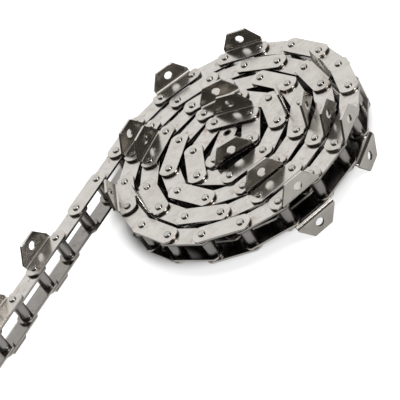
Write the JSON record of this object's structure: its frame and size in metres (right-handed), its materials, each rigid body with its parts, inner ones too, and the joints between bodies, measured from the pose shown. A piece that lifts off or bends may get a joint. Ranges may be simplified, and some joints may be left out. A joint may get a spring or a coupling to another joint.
{
  "type": "conveyor chain",
  "caption": "Length of double-pitch roller conveyor chain with bent one-hole attachment tabs on both sides, wound into a flat coil with a straight end leading off.",
  "frame": {"origin": "centre of the bore of the free end's bush, halfway up the pin axis", "axes": "+Z along the pin axes, up as the coil lies; +X along the straight run from the free end to the coil; the coil lies on the -Y side and the tabs of the straight run stand on its +Y side"},
  "size_m": [0.4373, 0.2785, 0.0664],
  "materials": {
    "outer_plate_steel": "brushed stainless",
    "attachment_plate_steel": "brushed stainless, bent tab",
    "inner_plate_steel": "brushed stainless with faint heat and oil stains round the joints",
    "pin_steel": "ground stainless, riveted ends",
    "bush_steel": "turned stainless",
    "roller_steel": "turned stainless"
  },
  "bodies": {
    "inner_link_1": {"inner_plates_1": "inner_plate_steel", "bushes_1": "bush_steel"},
    "roller_1a": {"roller_1a": "roller_steel"},
    "roller_1b": {"roller_1b": "roller_steel"},
    "outer_link_1": {"attachment_plates_1": "attachment_plate_steel", "pins_1": "pin_steel"},
    "inner_link_2": {"inner_plates_2": "inner_plate_steel", "bushes_2": "bush_steel"},
    "roller_2a": {"roller_2a": "roller_steel"},
    "roller_2b": {"roller_2b": "roller_steel"},
    "outer_link_2": {"attachment_plates_2": "attachment_plate_steel", "pins_2": "pin_steel"},
    "inner_link_3": {"inner_plates_3": "inner_plate_steel", "bushes_3": "bush_steel"},
    "roller_3a": {"roller_3a": "roller_steel"},
    "roller_3b": {"roller_3b": "roller_steel"},
    "outer_link_3": {"outer_plates_3": "outer_plate_steel", "pins_3": "pin_steel"},
    "inner_link_4": {"inner_plates_4": "inner_plate_steel", "bushes_4": "bush_steel"},
    "roller_4a": {"roller_4a": "roller_steel"},
    "roller_4b": {"roller_4b": "roller_steel"},
    "outer_link_4": {"outer_plates_4": "outer_plate_steel", "pins_4": "pin_steel"},
    "inner_link_5": {"inner_plates_5": "inner_plate_steel", "bushes_5": "bush_steel"},
    "roller_5a": {"roller_5a": "roller_steel"},
    "roller_5b": {"roller_5b": "roller_steel"},
    "outer_link_5": {"attachment_plates_5": "attachment_plate_steel", "pins_5": "pin_steel"},
    "inner_link_6": {"inner_plates_6": "inner_plate_steel", "bushes_6": "bush_steel"},
    "roller_6a": {"roller_6a": "roller_steel"},
    "roller_6b": {"roller_6b": "roller_steel"},
    "outer_link_6": {"attachment_plates_6": "attachment_plate_steel", "pins_6": "pin_steel"},
    "inner_link_7": {"inner_plates_7": "inner_plate_steel", "bushes_7": "bush_steel"},
    "roller_7a": {"roller_7a": "roller_steel"},
    "roller_7b": {"roller_7b": "roller_steel"},
    "outer_link_7": {"outer_plates_7": "outer_plate_steel", "pins_7": "pin_steel"},
    "inner_link_8": {"inner_plates_8": "inner_plate_steel", "bushes_8": "bush_steel"},
    "roller_8a": {"roller_8a": "roller_steel"},
    "roller_8b": {"roller_8b": "roller_steel"},
    "outer_link_8": {"outer_plates_8": "outer_plate_steel", "pins_8": "pin_steel"},
    "inner_link_9": {"inner_plates_9": "inner_plate_steel", "bushes_9": "bush_steel"},
    "roller_9a": {"roller_9a": "roller_steel"},
    "roller_9b": {"roller_9b": "roller_steel"},
    "outer_link_9": {"attachment_plates_9": "attachment_plate_steel", "pins_9": "pin_steel"},
    "wound_coil": {"coil_inner_plates": "inner_plate_steel", "coil_bushes": "bush_steel", "coil_rollers": "roller_steel", "coil_outer_plates": "outer_plate_steel", "coil_attachment_plates": "attachment_plate_steel", "coil_pins": "pin_steel"}
  },
  "joints": [
    {"name": "pin_joint_1", "type": "hinge", "parent": "outer_link_1", "child": "inner_link_1", "pos_m": [0.0381, 0, 0], "axis": [0, 0, -1], "range_deg": [-60, 60]},
    {"name": "pin_joint_2", "type": "hinge", "parent": "inner_link_2", "child": "outer_link_1", "pos_m": [0.0762, 0, 0], "axis": [0, 0, 1], "range_deg": [-60, 60]},
    {"name": "pin_joint_3", "type": "hinge", "parent": "outer_link_2", "child": "inner_link_2", "pos_m": [0.1143, 0, 0], "axis": [0, 0, -1], "range_deg": [-60, 60]},
    {"name": "pin_joint_4", "type": "hinge", "parent": "inner_link_3", "child": "outer_link_2", "pos_m": [0.1524, 0, 0], "axis": [0, 0, 1], "range_deg": [-60, 60]},
    {"name": "pin_joint_5", "type": "hinge", "parent": "outer_link_3", "child": "inner_link_3", "pos_m": [0.1905, 0, 0], "axis": [0, 0, -1], "range_deg": [-60, 60]},
    {"name": "pin_joint_6", "type": "hinge", "parent": "inner_link_4", "child": "outer_link_3", "pos_m": [0.2286, 0, 0], "axis": [0, 0, 1], "range_deg": [-60, 45]},
    {"name": "pin_joint_7", "type": "hinge", "parent": "outer_link_4", "child": "inner_link_4", "pos_m": [0.2667, 0, 0], "axis": [0, 0, -1], "range_deg": [-15, 60]},
    {"name": "pin_joint_8", "type": "hinge", "parent": "inner_link_5", "child": "outer_link_4", "pos_m": [0.3048, 0, 0], "axis": [0, 0, 1], "range_deg": [-60, 0]},
    {"name": "pin_joint_9", "type": "hinge", "parent": "outer_link_5", "child": "inner_link_5", "pos_m": [0.34142, -0.01052, 0], "axis": [0, 0, -1], "range_deg": [0, 60]},
    {"name": "pin_joint_10", "type": "hinge", "parent": "inner_link_6", "child": "outer_link_5", "pos_m": [0.37358, -0.03094, 0], "axis": [0, 0, 1], "range_deg": [-60, 0]},
    {"name": "pin_joint_11", "type": "hinge", "parent": "outer_link_6", "child": "inner_link_6", "pos_m": [0.39848, -0.05978, 0], "axis": [0, 0, -1], "range_deg": [0, 60]},
    {"name": "pin_joint_12", "type": "hinge", "parent": "inner_link_7", "child": "outer_link_6", "pos_m": [0.41374, -0.09469, 0], "axis": [0, 0, 1], "range_deg": [-60, 0]},
    {"name": "pin_joint_13", "type": "hinge", "parent": "outer_link_7", "child": "inner_link_7", "pos_m": [0.4178, -0.13258, 0], "axis": [0, 0, -1], "range_deg": [0, 60]},
    {"name": "pin_joint_14", "type": "hinge", "parent": "inner_link_8", "child": "outer_link_7", "pos_m": [0.41021, -0.16991, 0], "axis": [0, 0, 1], "range_deg": [-60, 0]},
    {"name": "pin_joint_15", "type": "hinge", "parent": "outer_link_8", "child": "inner_link_8", "pos_m": [0.39169, -0.20321, 0], "axis": [0, 0, -1], "range_deg": [0, 60]},
    {"name": "pin_joint_16", "type": "hinge", "parent": "inner_link_9", "child": "outer_link_8", "pos_m": [0.36407, -0.22945, 0], "axis": [0, 0, 1], "range_deg": [-60, 0]},
    {"name": "pin_joint_17", "type": "hinge", "parent": "outer_link_9", "child": "inner_link_9", "pos_m": [0.32993, -0.24636, 0], "axis": [0, 0, -1], "range_deg": [0, 60]},
    {"name": "pin_joint_18", "type": "hinge", "parent": "wound_coil", "child": "outer_link_9", "pos_m": [0.29232, -0.25248, 0], "axis": [0, 0, 1], "range_deg": [-60, 0]},
    {"name": "roller_1a_spin", "type": "hinge", "parent": "inner_link_1", "child": "roller_1a", "pos_m": [0, 0, 0], "axis": [0, 0, 1], "continuous": true},
    {"name": "roller_1b_spin", "type": "hinge", "parent": "inner_link_1", "child": "roller_1b", "pos_m": [0.0381, 0, 0], "axis": [0, 0, 1], "continuous": true},
    {"name": "roller_2a_spin", "type": "hinge", "parent": "inner_link_2", "child": "roller_2a", "pos_m": [0.0762, 0, 0], "axis": [0, 0, 1], "continuous": true},
    {"name": "roller_2b_spin", "type": "hinge", "parent": "inner_link_2", "child": "roller_2b", "pos_m": [0.1143, 0, 0], "axis": [0, 0, 1], "continuous": true},
    {"name": "roller_3a_spin", "type": "hinge", "parent": "inner_link_3", "child": "roller_3a", "pos_m": [0.1524, 0, 0], "axis": [0, 0, 1], "continuous": true},
    {"name": "roller_3b_spin", "type": "hinge", "parent": "inner_link_3", "child": "roller_3b", "pos_m": [0.1905, 0, 0], "axis": [0, 0, 1], "continuous": true},
    {"name": "roller_4a_spin", "type": "hinge", "parent": "inner_link_4", "child": "roller_4a", "pos_m": [0.2286, 0, 0], "axis": [0, 0, 1], "continuous": true},
    {"name": "roller_4b_spin", "type": "hinge", "parent": "inner_link_4", "child": "roller_4b", "pos_m": [0.2667, 0, 0], "axis": [0, 0, 1], "continuous": true},
    {"name": "roller_5a_spin", "type": "hinge", "parent": "inner_link_5", "child": "roller_5a", "pos_m": [0.3048, 0, 0], "axis": [0, 0, 1], "continuous": true},
    {"name": "roller_5b_spin", "type": "hinge", "parent": "inner_link_5", "child": "roller_5b", "pos_m": [0.34142, -0.01052, 0], "axis": [0, 0, 1], "continuous": true},
    {"name": "roller_6a_spin", "type": "hinge", "parent": "inner_link_6", "child": "roller_6a", "pos_m": [0.37358, -0.03094, 0], "axis": [0, 0, 1], "continuous": true},
    {"name": "roller_6b_spin", "type": "hinge", "parent": "inner_link_6", "child": "roller_6b", "pos_m": [0.39848, -0.05978, 0], "axis": [0, 0, 1], "continuous": true},
    {"name": "roller_7a_spin", "type": "hinge", "parent": "inner_link_7", "child": "roller_7a", "pos_m": [0.41374, -0.09469, 0], "axis": [0, 0, 1], "continuous": true},
    {"name": "roller_7b_spin", "type": "hinge", "parent": "inner_link_7", "child": "roller_7b", "pos_m": [0.4178, -0.13258, 0], "axis": [0, 0, 1], "continuous": true},
    {"name": "roller_8a_spin", "type": "hinge", "parent": "inner_link_8", "child": "roller_8a", "pos_m": [0.41021, -0.16991, 0], "axis": [0, 0, 1], "continuous": true},
    {"name": "roller_8b_spin", "type": "hinge", "parent": "inner_link_8", "child": "roller_8b", "pos_m": [0.39169, -0.20321, 0], "axis": [0, 0, 1], "continuous": true},
    {"name": "roller_9a_spin", "type": "hinge", "parent": "inner_link_9", "child": "roller_9a", "pos_m": [0.36407, -0.22945, 0], "axis": [0, 0, 1], "continuous": true},
    {"name": "roller_9b_spin", "type": "hinge", "parent": "inner_link_9", "child": "roller_9b", "pos_m": [0.32993, -0.24636, 0], "axis": [0, 0, 1], "continuous": true}
  ]
}
